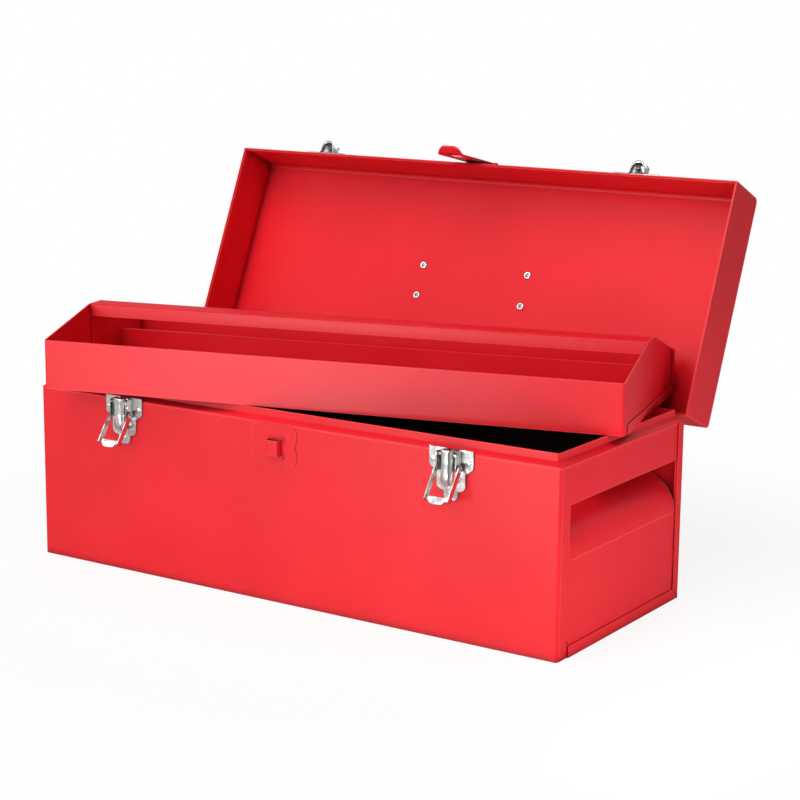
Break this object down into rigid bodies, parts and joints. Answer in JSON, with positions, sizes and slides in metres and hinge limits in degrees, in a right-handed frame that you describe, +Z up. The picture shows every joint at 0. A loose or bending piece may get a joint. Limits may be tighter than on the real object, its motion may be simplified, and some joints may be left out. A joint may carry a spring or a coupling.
{
  "type": "hand tool box",
  "caption": "Red sheet-steel hand tool box, flat lid hinged at the back and standing open, with draw latches, a hasp and a lift-out tote tray lying askew on the rim.",
  "frame": {"origin": "middle of the underside of the box", "axes": "+X along the box's length to the right end, +Y from the front to the hinge, +Z up"},
  "size_m": [0.5188, 0.3639, 0.3498],
  "materials": {
    "red_powder_coat": "satin red powder coat with fine orange peel",
    "nickel_plate": "bright nickel-plated pressed steel",
    "zinc_steel": "zinc-plated steel"
  },
  "bodies": {
    "box": {"front_wall": "red_powder_coat", "left_end_wall": "red_powder_coat", "right_end_wall": "red_powder_coat", "front_and_end_rim": "red_powder_coat", "floor_and_back": "red_powder_coat", "left_end_seam": "red_powder_coat", "right_end_seam": "red_powder_coat", "left_end_scoop": "red_powder_coat", "right_end_scoop": "red_powder_coat", "padlock_staple": "red_powder_coat", "body_hinge_leaf": "red_powder_coat", "hinge_pin": "zinc_steel", "left_latch_base": "nickel_plate", "left_latch_pins": "zinc_steel", "right_latch_base": "nickel_plate", "right_latch_pins": "zinc_steel"},
    "lid": {"lid_wrap": "red_powder_coat", "left_lid_end": "red_powder_coat", "right_lid_end": "red_powder_coat", "lid_hinge_leaf": "red_powder_coat", "left_handle_bracket": "nickel_plate", "right_handle_bracket": "nickel_plate", "left_strike": "nickel_plate", "right_strike": "nickel_plate", "hasp_bracket": "red_powder_coat", "hasp_pin": "zinc_steel"},
    "tray": {"tray_front_and_ends": "red_powder_coat", "tray_floor_and_back": "red_powder_coat", "tray_bar": "red_powder_coat", "tray_bar_ends": "red_powder_coat", "tray_divider": "red_powder_coat"},
    "left_lever": {"left_latch_lever": "nickel_plate"},
    "right_lever": {"right_latch_lever": "nickel_plate"},
    "left_bail": {"left_latch_bail": "nickel_plate"},
    "right_bail": {"right_latch_bail": "nickel_plate"},
    "hasp": {"hasp_leaf": "red_powder_coat"},
    "handle": {"handle_wire": "nickel_plate", "handle_grip": "red_powder_coat"}
  },
  "joints": [
    {"name": "lid_hinge", "type": "hinge", "parent": "box", "child": "lid", "pos_m": [0, 0.103, 0.1475], "axis": [1, 0, 0], "range_deg": [0, 113.5]},
    {"name": "tray_lift_off", "type": "slide", "parent": "box", "child": "tray", "axis": [0, -0.9701, 0.2425], "range_m": [0, 0.34]},
    {"name": "hasp_swing", "type": "hinge", "parent": "lid", "child": "hasp", "pos_m": [0, 0.20865, 0.32903], "axis": [-1, 0, 0], "range_deg": [0, 30]},
    {"name": "handle_swing", "type": "hinge", "parent": "lid", "child": "handle", "pos_m": [0, 0.19066, 0.2217], "axis": [1, 0, 0], "range_deg": [-18.5, 151.5]},
    {"name": "left_lever_swing", "type": "hinge", "parent": "box", "child": "left_lever", "pos_m": [-0.1605, -0.105, 0.146], "axis": [-1, 0, 0], "range_deg": [0, 85]},
    {"name": "left_bail_swing", "type": "hinge", "parent": "box", "child": "left_bail", "pos_m": [-0.1605, -0.1045, 0.1365], "axis": [-1, 0, 0], "range_deg": [0, 94]},
    {"name": "right_lever_swing", "type": "hinge", "parent": "box", "child": "right_lever", "pos_m": [0.1605, -0.105, 0.146], "axis": [-1, 0, 0], "range_deg": [0, 85]},
    {"name": "right_bail_swing", "type": "hinge", "parent": "box", "child": "right_bail", "pos_m": [0.1605, -0.1045, 0.1365], "axis": [-1, 0, 0], "range_deg": [0, 146]}
  ],
  "couplings": [
    {"joint": "tray_lift_off", "follows": "lid_hinge", "m_per_rad": 0.1716},
    {"joint": "hasp_swing", "follows": "lid_hinge", "ratio": 0.2643}
  ]
}
